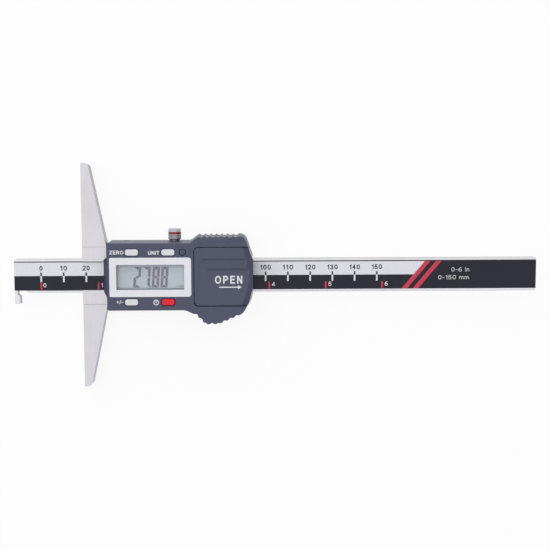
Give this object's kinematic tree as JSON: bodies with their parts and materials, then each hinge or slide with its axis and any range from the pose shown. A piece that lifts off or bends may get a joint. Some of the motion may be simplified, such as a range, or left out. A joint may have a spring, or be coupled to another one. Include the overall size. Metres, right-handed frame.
{
  "type": "digital depth caliper",
  "caption": "Digital depth caliper: a measuring base and display housing slide on a hooked steel beam with a printed scale and are held by a knurled lock screw.",
  "frame": {"origin": "foot of the measuring face, in its middle: on the slider's back plane and on the beam's centre line", "axes": "+X along the beam, away from the material being measured; +Y across the beam towards the lock screw; +Z out of the display"},
  "size_m": [0.234, 0.1, 0.0158],
  "materials": {
    "beam_steel": "ground satin",
    "slider_steel": "bead blasted satin",
    "label_film": "printed satin film",
    "scale_laminate": "etched copper on laminate",
    "gib_brass": "machined",
    "housing_plastic": "fine moulded texture",
    "bezel_plastic": "moulded satin",
    "window_clear": "polished",
    "lcd_glass": "satin polariser",
    "holder_plastic": "moulded",
    "zebra_rubber": "layered conductive rubber",
    "board_laminate": "solder mask",
    "chip_resin": "cured resin",
    "keypad_rubber": "moulded",
    "key_light": "moulded satin",
    "key_red": "moulded satin",
    "cell_steel": "pressed nickel-plated steel",
    "contact_brass": "plated spring strip",
    "lock_steel": "knurled satin",
    "ring_red": "enamelled",
    "screw_steel": "dark screw"
  },
  "bodies": {
    "slider": {"slider_frame": "slider_steel", "gib_strip": "gib_brass", "gib_set_screws": "screw_steel", "display_housing": "housing_plastic", "display_bezel": "bezel_plastic", "display_window": "window_clear", "lcd_panel": "lcd_glass", "lcd_holder": "holder_plastic", "zebra_connectors": "zebra_rubber", "circuit_board": "board_laminate", "controller_chip": "chip_resin", "upper_keypad": "keypad_rubber", "lower_keypad": "keypad_rubber", "blanking_plug": "housing_plastic", "battery": "cell_steel", "battery_contact_plus": "contact_brass", "battery_contact_minus": "contact_brass", "housing_screws": "screw_steel", "board_screws": "screw_steel"},
    "beam": {"beam": "beam_steel", "scale_board": "scale_laminate", "scale_label": "label_film"},
    "lock_pad": {"lock_pad": "gib_brass"},
    "lock_screw": {"lock_screw": "lock_steel", "lock_ring": "ring_red"},
    "zero_key": {"zero_key": "key_light"},
    "unit_key": {"unit_key": "key_light"},
    "step_key": {"step_key": "key_light"},
    "power_key": {"power_key": "key_red"},
    "battery_lid": {"battery_lid": "housing_plastic"}
  },
  "joints": [
    {"name": "beam_slide", "type": "slide", "parent": "slider", "child": "beam", "axis": [1, 0, 0], "range_m": [-0.12212, 0.0278]},
    {"name": "lock_advance", "type": "slide", "parent": "slider", "child": "lock_pad", "axis": [0, -1, 0], "range_m": [-0.00025, 0.000125]},
    {"name": "lock_turn", "type": "hinge", "parent": "lock_pad", "child": "lock_screw", "pos_m": [0.041, 0, 0.0047], "axis": [0, -1, 0], "range_deg": [-180, 90]},
    {"name": "zero_key_press", "type": "slide", "parent": "slider", "child": "zero_key", "axis": [0, 0, -1], "range_m": [0, 0.0003], "stiffness_N_per_m": 800, "springref_m": -0.0002},
    {"name": "unit_key_press", "type": "slide", "parent": "slider", "child": "unit_key", "axis": [0, 0, -1], "range_m": [0, 0.0003], "stiffness_N_per_m": 800, "springref_m": -0.0002},
    {"name": "step_key_press", "type": "slide", "parent": "slider", "child": "step_key", "axis": [0, 0, -1], "range_m": [0, 0.0003], "stiffness_N_per_m": 800, "springref_m": -0.0002},
    {"name": "power_key_press", "type": "slide", "parent": "slider", "child": "power_key", "axis": [0, 0, -1], "range_m": [0, 0.0003], "stiffness_N_per_m": 800, "springref_m": -0.0002},
    {"name": "battery_lid_slide", "type": "slide", "parent": "slider", "child": "battery_lid", "axis": [1, 0, 0], "range_m": [0, 0.03]}
  ],
  "couplings": [
    {"joint": "lock_turn", "follows": "lock_advance", "rad_per_m": 12566}
  ]
}
